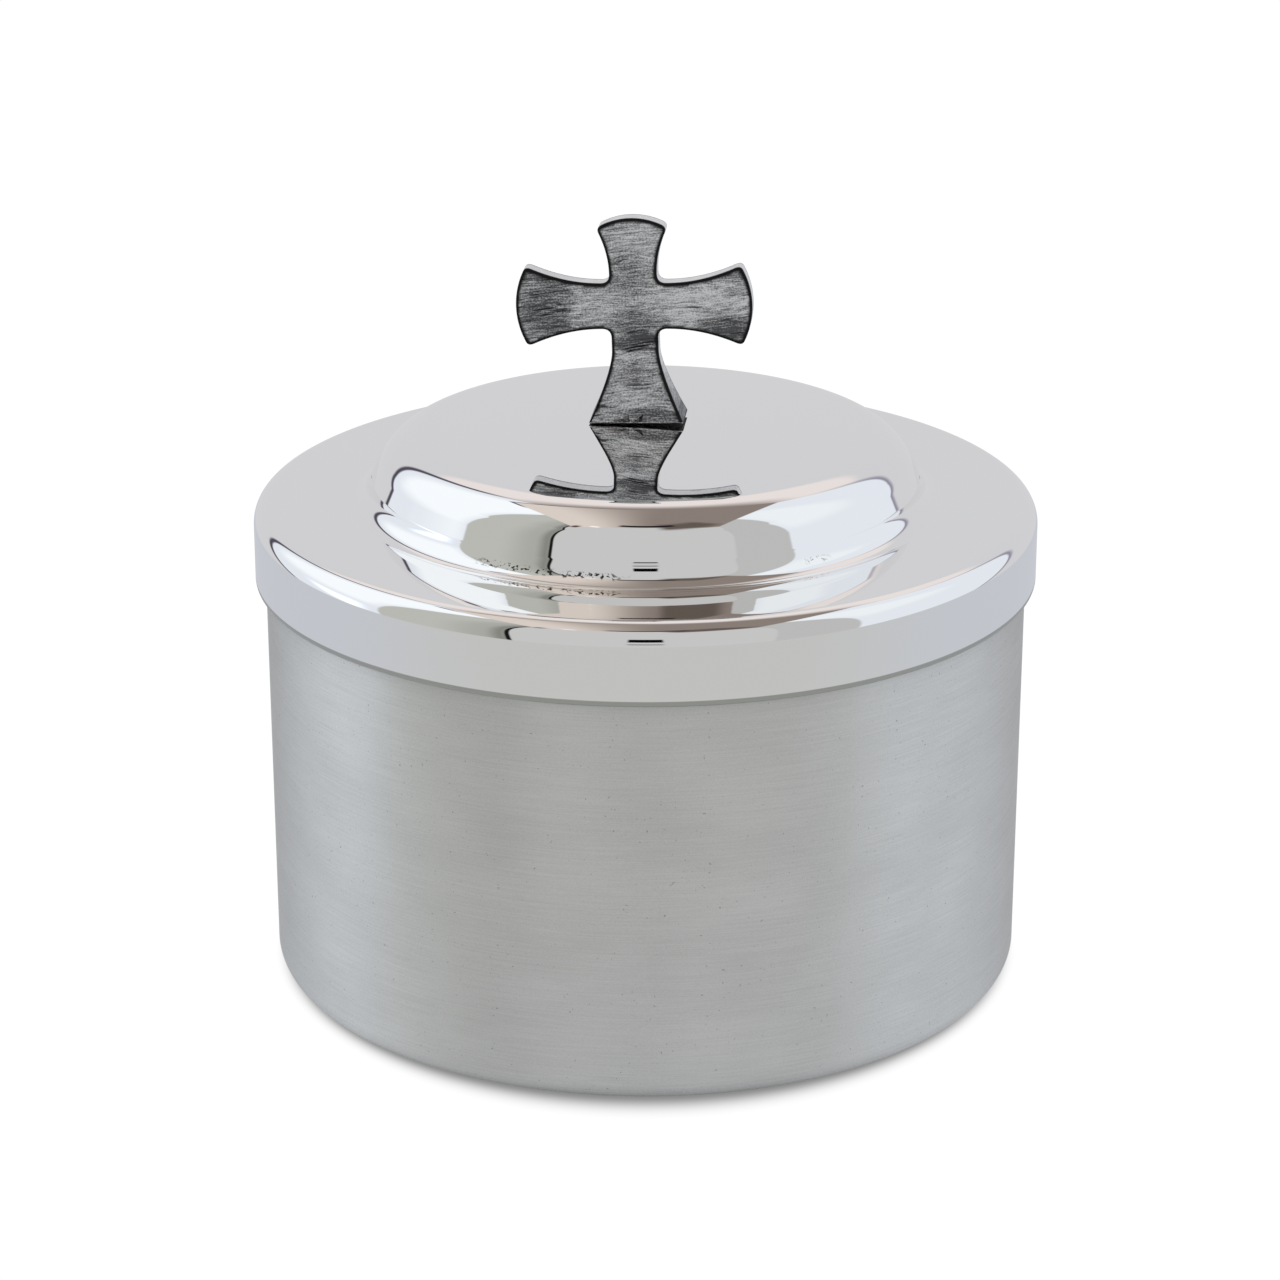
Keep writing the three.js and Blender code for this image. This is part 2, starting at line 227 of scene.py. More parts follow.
TENT_WHITE = grey(1.0)  # what the camera sees past the floor
BACK_LOW = rgba(0.67, 0.67, 0.69)
BACK_HIGH = rgba(0.86, 0.79, 0.77)
BACK_SPLIT = (33.0, 38.0)  # the back wall turns from low to high over these heights
BACK_TOP = (50.0, 64.0)  # and darkens to the ceiling over these
CEILING_LEFT = rgba(0.74, 0.66, 0.60)
CEILING_RIGHT = rgba(0.27, 0.225, 0.20)
CEILING_TURN = (-0.28, 0.05)  # where the ceiling turns from left to right, as the direction's own X
FRONT_CEILING_SLOPE = 2.65  # rise of the front wall's top over its distance
SIDE_CEILING_SLOPE = 2.3
BACK_CEILING_SLOPE = 2.05
CEILING_EDGE = 0.03  # softness of the walls' tops
FRAME_LEFT = rgba(0.085, 0.075, 0.105)
FRAME_RIGHT = rgba(0.30, 0.28, 0.36)
BOX = rgba(0.82, 0.86, 0.93)
BOX_LEFT_BRIGHT = rgba(1.00, 1.04, 1.08)
BOX_RIGHT_BRIGHT = rgba(0.90, 0.94, 0.98)
BOX_LOW = rgba(1.32, 1.42, 1.62)
GREEN = rgba(0.52, 0.525, 0.49)
GREEN_DEEP = rgba(0.42, 0.425, 0.39)
GREEN_CORNER = rgba(0.25, 0.25, 0.23)
FRONT_GREY = grey(0.60)
RIGHT_GREY = grey(0.53)
GAP = rgba(0.010, 0.009, 0.009)
LENS_BLACK = grey(0.002)
LENS_GREY = grey(0.25)
RED_SHADOW = rgba(0.08, 0.03, 0.03)
SPARK = rgba(1.10, 1.05, 1.00)
CEILING_SHADE = rgba(0.13, 0.105, 0.09)

# The panels' upright edges lean. Those at the front open outwards by the first spread at the top,
# and those at the back, past the split, close in by the second spread at the bottom.
FRONT_SPREAD = (-13.0, -5.0, 65.0)  # degrees, the height where it starts and its reach upwards
BACK_SPREAD = (40.0, 40.0, -60.0)
LEAN_SPLIT = 105.0

# Each panel: colour, left, right, bottom, top, and the softness of its sides and of its ends
PANELS = (
    (FRAME_LEFT, -150.5, -146.0, -60.0, 52.0, 1.2, 6.0),
    (FRAME_RIGHT, 136.0, 141.0, -60.0, 40.0, 2.0, 18.0),
    (BOX, -147.0, -80.0, -60.0, 90.0, 1.0, 1.0),
    (BOX_LEFT_BRIGHT, -140.0, -82.0, 15.0, 90.0, 6.0, 8.0),
    (BOX_LOW, -122.0, -88.0, -20.0, 6.0, 6.0, 5.0),
    (BOX, 62.0, 138.0, -60.0, 90.0, 1.0, 1.0),
    (BOX_RIGHT_BRIGHT, 64.0, 112.0, 32.0, 90.0, 6.0, 8.0),
    (GREEN, -80.0, -38.0, -60.0, 90.0, 0.8, 1.0),
    (GREEN_DEEP, -54.0, -38.0, -60.0, 90.0, 9.0, 1.0),
    (GREEN_CORNER, -43.0, -38.0, -60.0, 90.0, 3.0, 1.0),
    (FRONT_GREY, -38.0, 36.0, -60.0, 90.0, 0.4, 1.0),
    (RIGHT_GREY, 36.0, 62.0, -60.0, 90.0, 0.8, 1.0),
    (GAP, -39.0, -37.5, -60.0, 90.0, 0.4, 1.0),
)

# Each line along the ceiling's edge: colour, left, right and the softness of its ends
EDGE_LINES = (
    (GAP, 26.0, 46.0, 4.0),
    (FRAME_LEFT, -156.0, -126.0, 6.0),
)
EDGE_LINE_HALF_WIDTH = 0.02
EDGE_LINE_SOFTNESS = 0.015

# Each spot, laid over the rest: as a panel, with upright sides
SPOTS = (
    (CEILING_SHADE, 12.0, 56.0, 64.0, 76.0, 6.0, 3.0),
    (GAP, -24.0, 26.0, 70.7, 74.0, 3.0, 0.4),
    (RED_SHADOW, -51.0, -46.0, 60.0, 64.0, 1.5, 1.5),
    (SPARK, -42.0, -35.0, 65.2, 67.0, 1.5, 0.8),
    (LENS_BLACK, -5.0, 5.0, 14.0, 28.5, 0.6, 0.6),
    (LENS_GREY, -5.0, 5.0, 0.0, 5.0, 1.0, 1.0),
)


def leaned(tree, around, up, spread, start, reach):
    """Degrees round, moved outwards by the spread as the square of the way from start over reach."""
    share = calc(tree, "DIVIDE", calc(tree, "SUBTRACT", up, start), reach)
    share = calc(tree, "MAXIMUM", share, 0.0)
    shift = calc(tree, "MULTIPLY", calc(tree, "MULTIPLY", share, share), spread)
    return calc(tree, "ADD", around, calc(tree, "MULTIPLY", calc(tree, "SIGN", around), shift))


def panel_mask(tree, left_around, right_around, up, left, right, bottom, top, soft, end_soft):
    """1 on a panel and 0 outside. Its left and right edges may lean in their own ways."""
    start = smooth_step(tree, left_around, left - soft, left + soft)
    end = smooth_step(tree, right_around, right + soft, right - soft)
    sides = calc(tree, "MULTIPLY", start, end)
    return calc(tree, "MULTIPLY", sides, band(tree, up, bottom, top, end_soft))


def tent_walls(tree, around, up):
    """The colour of the walls: the back, and the panels laid over it in turn."""
    near = leaned(tree, around, up, *FRONT_SPREAD)
    far = leaned(tree, around, up, *BACK_SPREAD)
    colour = mix_colour(tree, smooth_step(tree, up, *BACK_SPLIT), BACK_LOW, BACK_HIGH)
    colour = mix_colour(tree, smooth_step(tree, up, *BACK_TOP), colour, CEILING_RIGHT)
    for panel, *bounds in PANELS:
        left_around, right_around = [far if abs(side) > LEAN_SPLIT else near for side in bounds[:2]]
        colour = mix_colour(tree, panel_mask(tree, left_around, right_around, up, *bounds), colour, panel)
    return colour


def above_walls(tree, right, front, back, rise):
    """How far a direction passes above the tops of the walls, which is below 0 on the walls."""
    side_reach = calc(tree, "MULTIPLY", calc(tree, "ABSOLUTE", right), SIDE_CEILING_SLOPE)
    front_reach = calc(tree, "MULTIPLY", front, FRONT_CEILING_SLOPE)
    back_reach = calc(tree, "MULTIPLY", back, BACK_CEILING_SLOPE)
    reach = calc(tree, "MAXIMUM", side_reach, calc(tree, "MAXIMUM", front_reach, back_reach))
    return calc(tree, "SUBTRACT", rise, reach)


def make_studio():
    world = bpy.data.worlds.new("studio")
    bpy.context.scene.world = world
    world.use_nodes = True
    tree = world.node_tree
    tree.nodes.clear()
    coordinates = add_node(tree, "ShaderNodeTexCoord")
    split = add_node(tree, "ShaderNodeSeparateXYZ", {0: coordinates.outputs["Generated"]})
    right, back, rise = split.outputs
    front = calc(tree, "MULTIPLY", back, -1.0)
    around = calc(tree, "DEGREES", calc(tree, "ARCTAN2", right, front))
    up = calc(tree, "DEGREES", calc(tree, "ARCSINE", rise))

    colour = tent_walls(tree, around, up)
    above = above_walls(tree, right, front, back, rise)
    ceiling = mix_colour(tree, smooth_step(tree, right, *CEILING_TURN), CEILING_LEFT, CEILING_RIGHT)
    colour = mix_colour(tree, smooth_step(tree, above, 0.0, CEILING_EDGE), colour, ceiling)
    on_edge = band(tree, above, -EDGE_LINE_HALF_WIDTH, EDGE_LINE_HALF_WIDTH, EDGE_LINE_SOFTNESS)
    for line, *span in EDGE_LINES:
        colour = mix_colour(tree, calc(tree, "MULTIPLY", on_edge, band(tree, around, *span)), colour, line)
    for spot, *bounds in SPOTS:
        colour = mix_colour(tree, panel_mask(tree, around, around, up, *bounds), colour, spot)

    seen = add_node(tree, "ShaderNodeLightPath").outputs["Is Camera Ray"]
    colour = mix_colour(tree, seen, colour, TENT_WHITE)
    background = add_node(tree, "ShaderNodeBackground", {"Color": colour, "Strength": 1.0})
    output = add_node(tree, "ShaderNodeOutputWorld")
    tree.links.new(background.outputs[0], output.inputs["Surface"])


def add_object(name, data):
    thing = bpy.data.objects.new(name, data)
    bpy.context.scene.collection.objects.link(thing)
    return thing


def make_camera():
    data = bpy.data.cameras.new("camera")
    data.lens = CAMERA_LENS
    data.sensor_width = CAMERA_SENSOR
    data.clip_start = CAMERA_NEAR
    data.clip_end = CAMERA_FAR
    camera = add_object("camera", data)
    camera.location = CAMERA_PLACE
    camera.rotation_euler = (math.radians(90.0 - CAMERA_TILT), 0.0, math.radians(CAMERA_TURN))
    bpy.context.scene.camera = camera


# Materials. A grain is a size along X, Y and Z in millimetres, a depth is that of a bump in
# millimetres, and a turn is the pair of noise or tone values over which a colour changes.

FLOOR_HALF_WIDTH = 6.0  # metres
FLOOR_SEEN = grey(1.02)
FLOOR_MIRRORED_FRONT = rgba(0.57, 0.575, 0.56)
FLOOR_MIRRORED_SIDE = rgba(0.58, 0.60, 0.645)
FLOOR_SIDE_START = -0.2  # metres forwards, where the front's tone starts to turn into the side's
FLOOR_REACH = (0.306, 0.374)  # metres to where the tent's walls take over from the floor in mirrors
# The floor's contact shadow is painted into its glow, with the sizes and depth below.
SHADOW_RADIUS = 50.0
SHADOW_WIDTH = 1.6  # of the shadow at the sides of the base, which widens to the front
SHADOW_FRONT_WIDTH = 2.0
SHADOW_FRONT_POWER = 4.0
SHADOW_DEPTH = 0.75

LID_METAL = rgba(0.92, 0.92, 0.915)
LID_ROUGHNESS = 0.006
SPUN_GRAIN = (1.0, 1.0, 0.22)
SPUN_WANDER = 0.02  # how much the spun lines change on their way round
SPUN_ROUGHNESS = 0.015
SPUN_DEPTH = 0.0012
SPECK_COLOUR = rgba(0.05, 0.045, 0.04)  # also of the cup's specks
SPECK_GRAIN = (0.55, 0.55, 0.3)
SPECK_TURN = (0.54, 0.60)
SPECK_HEIGHTS = (68.2, 68.9)  # specks of old polish lie in the cove, between these heights
SPECK_RADII = (35.5, 41.0)  # and these distances from the axis
SPECK_SPANS = ((-34.0, -5.0), (34.0, 37.0))  # and these degrees round from the front
SPECK_FADES = (0.15, 1.0, 3.0)  # softness of the heights, radii and spans
GAP_SHADE_TOP = 57.5  # the lid's lower edge is painted darker up to here, as shade in the gap over the cup
GAP_SHADE_FADE = 0.12
GAP_SHADE_COLOUR = rgba(0.45, 0.455, 0.42)
DULL_ROUGHNESS = 0.3  # of the specks and of the lower edge that is painted with gap shade

SATIN_DARK = rgba(0.725, 0.725, 0.70)
SATIN_LIGHT = rgba(0.865, 0.865, 0.84)
SATIN_TURN = (0.3, 0.7)
SATIN_LINES = (9.0, 9.0, 0.16)
SATIN_GRAIN = (0.22, 0.22, 0.22)
SATIN_CLOUDS = (14.0, 14.0, 9.0)
SATIN_SPECKS = (0.45, 0.45, 0.4)
SATIN_SPECK_TURN = (0.74, 0.78)
SATIN_SPECK_SHARE = 0.4
SATIN_EDGE_TINT = grey(0.65)
SATIN_ROUGHNESS = 0.44
SATIN_GRAIN_ROUGHNESS = 0.12
SATIN_ANISOTROPY = 0.85
SATIN_ROTATION = 0.25  # a quarter turn, so that the highlights run up the wall
SATIN_DEPTH = 0.006

CROSS_BLACK = rgba(0.02, 0.02, 0.021)
CROSS_DARK = rgba(0.11, 0.112, 0.117)
CROSS_LIGHT = rgba(0.90, 0.91, 0.93)
CROSS_ROUGHNESS = 0.27
CROSS_DEPTH = 0.035
BRUSH_TILT = math.radians(3.5)
SCRATCH_TILT = math.radians(5.6)
WANDER_GRAIN = (7.0, 7.0, 5.0)
WANDER_RISE = 1.6  # how far the brushed lines wander up and down
BRUSH_FINE = (1.8, 1.8, 0.13)
BRUSH_BROAD = (4.5, 4.5, 0.36)
PIT_GRAIN = (0.24, 0.24, 0.18)
CLOUD_GRAIN = (5.0, 5.0, 4.0)
CLOUD_TURN = (0.55, 0.68)
WORN_TURN = (0.48, 0.82)
RAGGED_GRAIN = (3.0, 3.0, 1.1)
RAGGEDNESS = 3.2
PATCH_FADE = (1.3, 0.0)
SCRATCH_GRAIN = (6.0, 6.0, 0.32)
SCRATCH_TURN = (0.56, 0.66)
SCRATCH_SHARE = 0.85
SCRATCHES_IN_PATCH = -10.0
EDGE_DARK_TURN = (0.35, 1.0)
EDGE_DARK_REACH = 0.2  # the dark edge of a face fades over this distance
SIDE_FADE = 0.35  # the same on the sides of the cross
SIDE_DARK = 0.2  # how dark the sides of the arms stay away from their edges
SIDE_DARK_FOOT = 0.68  # and those of the foot
SIDE_METAL = rgba(0.93, 0.94, 0.95)
SIDE_BARE = 0.85  # how bare the metal of the sides is on the arms
SIDE_BARE_FOOT = 0.0  # and on the foot

STEEL_DARK = rgba(0.38, 0.39, 0.40)
STEEL_LIGHT = rgba(0.62, 0.63, 0.64)
STEEL_TURN = (0.3, 0.7)
STEEL_MARKS = (1.0, 1.0, 0.12)
STEEL_GRAIN = (0.3, 0.3, 0.3)
STEEL_ROUGHNESS = 0.18
STEEL_DEPTH = 0.008
SPRING_DARK = rgba(0.13, 0.135, 0.15)
SPRING_LIGHT = rgba(0.34, 0.35, 0.36)
SPRING_TURN = (0.35, 0.65)
SPRING_GRAIN = (0.25, 0.25, 0.25)
SPRING_STAINS = (1.5, 1.5, 1.5)
SPRING_ROUGHNESS = 0.25
SPRING_DEPTH = 0.01

# Darker, more scratched places on the cross, in millimetres from its crossing:
# centre to the right and up, half width, half height and how much they add to the brushed tone
DARK_PATCHES = (
    (-12.0, 0.8, 4.5, 4.5, -0.10),
    (0.3, -2.2, 4.0, 2.2, -0.05),
    (12.3, -3.2, 4.2, 2.2, -0.11),
    (0.5, -5.0, 4.5, 1.4, -0.13),
    (0.0, -9.2, 2.6, 2.2, -0.05),
    (2.0, -14.9, 5.0, 0.9, -0.07),
    (-1.0, 6.4, 2.4, 1.8, -0.05),
)

# Places where the cross is brushed back more, in the same way
LIGHT_PATCHES = (
    (8.0, 0.5, 7.5, 4.5, 0.085),
    (-6.0, 0.5, 5.0, 4.0, 0.06),
    (0.5, 9.0, 5.0, 4.5, 0.05),
    (0.0, -9.0, 4.0, 5.0, 0.045),
)


def empty_material(name):
    material = bpy.data.materials.new(name)
    material.use_nodes = True
    tree = material.node_tree
    tree.nodes.clear()
    return material, tree, add_node(tree, "ShaderNodeOutputMaterial").inputs["Surface"]


def new_material(name):
    """A material with a metal shader, and that shader's input sockets."""
    material, tree, surface = empty_material(name)
    shader = add_node(tree, "ShaderNodeBsdfPrincipled", {"Metallic": 1.0})
    tree.links.new(shader.outputs[0], surface)
    return material, tree, shader.inputs


def own_place(tree):
    """The place on the piece itself, in metres, which moves with the piece."""
    return add_node(tree, "ShaderNodeTexCoord").outputs["Object"]


def noise(tree, place, grain, tilt=0.0, detail=2.0):
    """Noise of about 0.5 with grains of the given sizes, turned by the tilt as seen from the front."""
    inputs = {"Vector": place, "Rotation": (0.0, -tilt, 0.0), "Scale": [size * MM for size in grain]}
    stretched = add_node(tree, "ShaderNodeMapping", inputs, vector_type="TEXTURE")
    inputs = {"Vector": stretched.outputs[0], "Scale": 1.0, "Detail": detail}
    return add_node(tree, "ShaderNodeTexNoise", inputs).outputs[0]


def squared(tree, value):
    return calc(tree, "MULTIPLY", value, value)


def split_place(tree, place):
    """The place's X, Y and Z, and its distance from the upright axis."""
    x, y, z = add_node(tree, "ShaderNodeSeparateXYZ", {0: place}).outputs
    away = calc(tree, "SQRT", calc(tree, "ADD", squared(tree, x), squared(tree, y)))
    return x, y, z, away


def mixed(tree, *parts):
    """The sum of values times their shares."""
    total = 0.0
    for value, share in parts:
        total = calc(tree, "ADD", total, calc(tree, "MULTIPLY", value, share))
    return total


def most_of(tree, *values):
    most = values[0]
    for value in values[1:]:
        most = calc(tree, "MAXIMUM", most, value)
    return most


def add_bump(tree, sockets, height, depth):
    """Lets the light see a height pattern of the given depth in millimetres."""
    inputs = {"Height": height, "Distance": depth * MM, "Strength": 1.0}
    bump = add_node(tree, "ShaderNodeBump", inputs)
    tree.links.new(bump.outputs[0], sockets["Normal"])


def floor_material():
    """Plain white paper that glows, with a painted soft contact shadow, which reaches out to where the
    tent's walls begin.
    """
    material, tree, surface = empty_material("pale_floor")
    _, y, _, away = split_place(tree, own_place(tree))
    forwards = calc(tree, "DIVIDE", calc(tree, "MINIMUM", y, 0.0), away)
    front = calc(tree, "POWER", forwards, SHADOW_FRONT_POWER)
    width = mixed(tree, (front, SHADOW_FRONT_WIDTH * MM), (1.0, SHADOW_WIDTH * MM))
    past = calc(tree, "DIVIDE", calc(tree, "SUBTRACT", away, SHADOW_RADIUS * MM), width)
    past = calc(tree, "MAXIMUM", past, 0.0)
    fall = calc(tree, "EXPONENT", calc(tree, "MULTIPLY", squared(tree, past), -1.0))
    light = calc(tree, "SUBTRACT", 1.0, calc(tree, "MULTIPLY", fall, SHADOW_DEPTH))
    seen = add_node(tree, "ShaderNodeLightPath").outputs["Is Camera Ray"]
    to_side = smooth_step(tree, y, FLOOR_SIDE_START, 0.0)
    mirrored = mix_colour(tree, to_side, FLOOR_MIRRORED_FRONT, FLOOR_MIRRORED_SIDE)
    colour = mix_colour(tree, seen, mirrored, FLOOR_SEEN)
    glow = add_node(tree, "ShaderNodeEmission", {"Color": colour, "Strength": light})
    unseen = calc(tree, "SUBTRACT", 1.0, seen)
    beyond = calc(tree, "MULTIPLY", smooth_step(tree, away, *FLOOR_REACH), unseen)
    see_through = add_node(tree, "ShaderNodeBsdfTransparent")
    inputs = {0: beyond, 1: glow.outputs[0], 2: see_through.outputs[0]}
    tree.links.new(add_node(tree, "ShaderNodeMixShader", inputs).outputs[0], surface)
    return material


def polished_material():
    """Mirror polish with faint spun lines, specks of old polish in the cove and a lower edge painted
    darker and duller, as shade in the gap over the cup.
    """
    material, tree, sockets = new_material("polished_lid")
    place = own_place(tree)
    x, y, z, away = split_place(tree, place)
    inputs = {
        0: calc(tree, "MULTIPLY", x, SPUN_WANDER),
        1: calc(tree, "MULTIPLY", y, SPUN_WANDER),
        2: calc(tree, "ADD", away, z),
    }
    rings = add_node(tree, "ShaderNodeCombineXYZ", inputs)
    spun = noise(tree, rings.outputs[0], SPUN_GRAIN, detail=3.0)
    height_fade, radius_fade, span_fade = SPECK_FADES
    low, high = SPECK_HEIGHTS
    in_cove = band(tree, z, low * MM, high * MM, height_fade * MM)
    inner, outer = SPECK_RADII
    on_neck = band(tree, away, inner * MM, outer * MM, radius_fade * MM)
    around = calc(tree, "DEGREES", calc(tree, "ARCTAN2", x, calc(tree, "MULTIPLY", y, -1.0)))
    dirty = most_of(tree, *[band(tree, around, left, right, span_fade) for left, right in SPECK_SPANS])
    dirty = calc(tree, "MULTIPLY", dirty, calc(tree, "MULTIPLY", in_cove, on_neck))
    speck = calc(tree, "MULTIPLY", smooth_step(tree, noise(tree, place, SPECK_GRAIN), *SPECK_TURN), dirty)
    # edge: the lower edge, painted darker as shade in the gap over the cup, and duller
    edge = smooth_step(tree, z, GAP_SHADE_TOP * MM, (GAP_SHADE_TOP - GAP_SHADE_FADE) * MM)
    colour = mix_colour(tree, speck, LID_METAL, SPECK_COLOUR)
    wire(tree, sockets["Base Color"], mix_colour(tree, edge, colour, GAP_SHADE_COLOUR))
    dull = mixed(tree, (spun, SPUN_ROUGHNESS), (speck, DULL_ROUGHNESS), (edge, DULL_ROUGHNESS))
    wire(tree, sockets["Roughness"], calc(tree, "ADD", dull, LID_ROUGHNESS))
    add_bump(tree, sockets, calc(tree, "MULTIPLY", spun, on_neck), SPUN_DEPTH)
    return material


def satin_material():
    """Satin metal with a fine matt grain and faint lines round the wall."""
    material, tree, sockets = new_material("satin_cup")
    place = own_place(tree)
    lines = noise(tree, place, SATIN_LINES, detail=3.0)
    grain = noise(tree, place, SATIN_GRAIN)
    clouds = noise(tree, place, SATIN_CLOUDS)
    specks = smooth_step(tree, noise(tree, place, SATIN_SPECKS, detail=1.0), *SATIN_SPECK_TURN)
    tone = mixed(tree, (lines, 0.35), (grain, 0.4), (clouds, 0.25))
    colour = mix_colour(tree, smooth_step(tree, tone, *SATIN_TURN), SATIN_DARK, SATIN_LIGHT)
    colour = mix_colour(tree, calc(tree, "MULTIPLY", specks, SATIN_SPECK_SHARE), colour, SPECK_COLOUR)
    wire(tree, sockets["Base Color"], colour)
    wire(tree, sockets["Specular Tint"], SATIN_EDGE_TINT)
    rough = mixed(tree, (grain, SATIN_GRAIN_ROUGHNESS), (1.0, SATIN_ROUGHNESS))
    wire(tree, sockets["Roughness"], rough)
    wire(tree, sockets["Anisotropic"], SATIN_ANISOTROPY)
    wire(tree, sockets["Anisotropic Rotation"], SATIN_ROTATION)
    tangent = add_node(tree, "ShaderNodeTangent", direction_type="RADIAL", axis="Z")
    tree.links.new(tangent.outputs[0], sockets["Tangent"])
    add_bump(tree, sockets, mixed(tree, (grain, 0.6), (lines, 0.4)), SATIN_DEPTH)
    return material


def patch_share(tree, x, z, ragged, middle_x, middle_z, half_width, half_height, strength):
    """The strength in the middle of an oval on the cross's face, which fades at its ragged rim."""
    across = calc(tree, "DIVIDE", calc(tree, "SUBTRACT", x, middle_x * MM), half_width * MM)
    up = calc(tree, "DIVIDE", calc(tree, "SUBTRACT", z, middle_z * MM), half_height * MM)
    away = calc(tree, "ADD", calc(tree, "ADD", squared(tree, across), squared(tree, up)), ragged)
    return calc(tree, "MULTIPLY", smooth_step(tree, away, *PATCH_FADE), strength)


def place_on_cross(tree):
    """The place as the upright cross has it, measured from its crossing."""
    turn = (0.0, FINIAL_LEAN, FINIAL_TURN)
    inputs = {"Vector": own_place(tree), "Location": foot_place * MM, "Rotation": turn}
    upright = add_node(tree, "ShaderNodeMapping", inputs, vector_type="TEXTURE").outputs[0]
    inputs = {0: upright, 1: (0.0, 0.0, -CROSSING_HEIGHT * MM)}
    return add_node(tree, "ShaderNodeVectorMath", inputs, operation="ADD").outputs[0]


def oxidised_material():
    """Dark oxidised metal, brushed back on its faces, with scratches and near-black edges."""
    material, tree, sockets = new_material("oxidised_cross")
    place = place_on_cross(tree)
    x, _, z = add_node(tree, "ShaderNodeSeparateXYZ", {0: place}).outputs
    wander = calc(tree, "MULTIPLY", noise(tree, place, WANDER_GRAIN, detail=1.0), WANDER_RISE * MM)
    lift = add_node(tree, "ShaderNodeCombineXYZ", {2: wander}).outputs[0]
    place = add_node(tree, "ShaderNodeVectorMath", {0: place, 1: lift}, operation="ADD").outputs[0]
    fine = noise(tree, place, BRUSH_FINE, BRUSH_TILT, 4.0)
    broad = noise(tree, place, BRUSH_BROAD, BRUSH_TILT)
    pits = noise(tree, place, PIT_GRAIN)
    clouds = noise(tree, place, CLOUD_GRAIN)
    tone = mixed(tree, (fine, 0.5), (broad, 0.22), (pits, 0.42), (clouds, 0.1))
    wobble = calc(tree, "SUBTRACT", noise(tree, place, RAGGED_GRAIN, BRUSH_TILT, 3.0), 0.5)
    ragged = calc(tree, "MULTIPLY", wobble, RAGGEDNESS)
    for patch in LIGHT_PATCHES + DARK_PATCHES:
        tone = calc(tree, "ADD", tone, patch_share(tree, x, z, ragged, *patch))
    worn = smooth_step(tree, tone, *WORN_TURN)

    scored = smooth_step(tree, clouds, *CLOUD_TURN)
    for patch in DARK_PATCHES:
        share = patch_share(tree, x, z, ragged, *patch)
        scored = calc(tree, "MAXIMUM", scored, calc(tree, "MULTIPLY", share, SCRATCHES_IN_PATCH))
    scratches = smooth_step(tree, noise(tree, place, SCRATCH_GRAIN, SCRATCH_TILT, 1.0), *SCRATCH_TURN)
    scratches = calc(tree, "MULTIPLY", scratches, scored)

    colour = mix_colour(tree, worn, CROSS_DARK, CROSS_LIGHT)
    colour = mix_colour(tree, calc(tree, "MULTIPLY", scratches, SCRATCH_SHARE), colour, CROSS_BLACK)
    # edge_dark holds the near-black edges, and the painted shade on the foot's underside.
    edge = add_node(tree, "ShaderNodeAttribute", attribute_name="edge_dark").outputs["Fac"]
    edge = smooth_step(tree, edge, *EDGE_DARK_TURN)
    bare = add_node(tree, "ShaderNodeAttribute", attribute_name="side_bare").outputs["Fac"]
    colour = mix_colour(tree, bare, colour, SIDE_METAL)
    wire(tree, sockets["Base Color"], mix_colour(tree, edge, colour, CROSS_BLACK))
    rough = mixed(tree, (fine, 0.25), (scratches, 0.2), (edge, 0.15), (1.0, CROSS_ROUGHNESS))
    wire(tree, sockets["Roughness"], rough)
    height = mixed(tree, (fine, 1.0), (broad, 0.6), (pits, 0.5), (scratches, -1.2))
    add_bump(tree, sockets, height, CROSS_DEPTH)
    return material


def fastener_material():
    """Bright steel with turning marks round its axis."""
    material, tree, sockets = new_material("fastener_steel")
    place = own_place(tree)
    _, _, z, away = split_place(tree, place)
    turned = add_node(tree, "ShaderNodeCombineXYZ", {2: calc(tree, "ADD", away, z)})
    marks = noise(tree, turned.outputs[0], STEEL_MARKS)
    grain = noise(tree, place, STEEL_GRAIN)
    tone = smooth_step(tree, mixed(tree, (marks, 0.6), (grain, 0.4)), *STEEL_TURN)
    wire(tree, sockets["Base Color"], mix_colour(tree, tone, STEEL_DARK, STEEL_LIGHT))
    wire(tree, sockets["Roughness"], mixed(tree, (grain, 0.2), (1.0, STEEL_ROUGHNESS)))
    add_bump(tree, sockets, marks, STEEL_DEPTH)
    return material


def spring_material():
    """Dull blued spring steel with darker stains."""
    material, tree, sockets = new_material("spring_steel")
    place = own_place(tree)
    grain = noise(tree, place, SPRING_GRAIN, detail=3.0)
    stains = noise(tree, place, SPRING_STAINS)
    tone = smooth_step(tree, mixed(tree, (grain, 0.5), (stains, 0.5)), *SPRING_TURN)
    wire(tree, sockets["Base Color"], mix_colour(tree, tone, SPRING_DARK, SPRING_LIGHT))
    wire(tree, sockets["Roughness"], mixed(tree, (stains, 0.3), (1.0, SPRING_ROUGHNESS)))
    add_bump(tree, sockets, grain, SPRING_DEPTH)
    return material


# Profiles, as paths of straight runs with rounded corners. Each point comes with the way it faces.


def corner(radius, height, rounding=0.0):
    return Vector((radius, height)), rounding


def left_of(direction):
    return Vector((-direction.y, direction.x))


def turned_by(vector, angle):
    cosine, sine = math.cos(angle), math.sin(angle)
    return Vector((vector.x * cosine - vector.y * sine, vector.x * sine + vector.y * cosine))


def rounded_path(corners):
    """Points and facings of the path. The facing is to the right of the way the path runs."""
    first = (corners[1][0] - corners[0][0]).normalized()
    points = [(corners[0][0], -left_of(first))]
    for (previous, _), (here, rounding), (following, _) in zip(corners, corners[1:], corners[2:]):
        before = (here - previous).normalized()
        after = (following - here).normalized()
        turn = math.atan2(before.x * after.y - before.y * after.x, before.dot(after))
        tangent = rounding * math.tan(abs(turn) / 2)
        start = here - before * tangent
        centre = start + left_of(before) * rounding * math.copysign(1.0, turn)
        steps = max(math.ceil(abs(turn) / ARC_STEP), ARC_LEAST_STEPS)
        for step in range(steps + 1):
            angle = turn * step / steps
            points.append((centre + turned_by(start - centre, angle), -left_of(turned_by(before, angle))))
    last = (corners[-1][0] - corners[-2][0]).normalized()
    points.append((corners[-1][0], -left_of(last)))
    return points


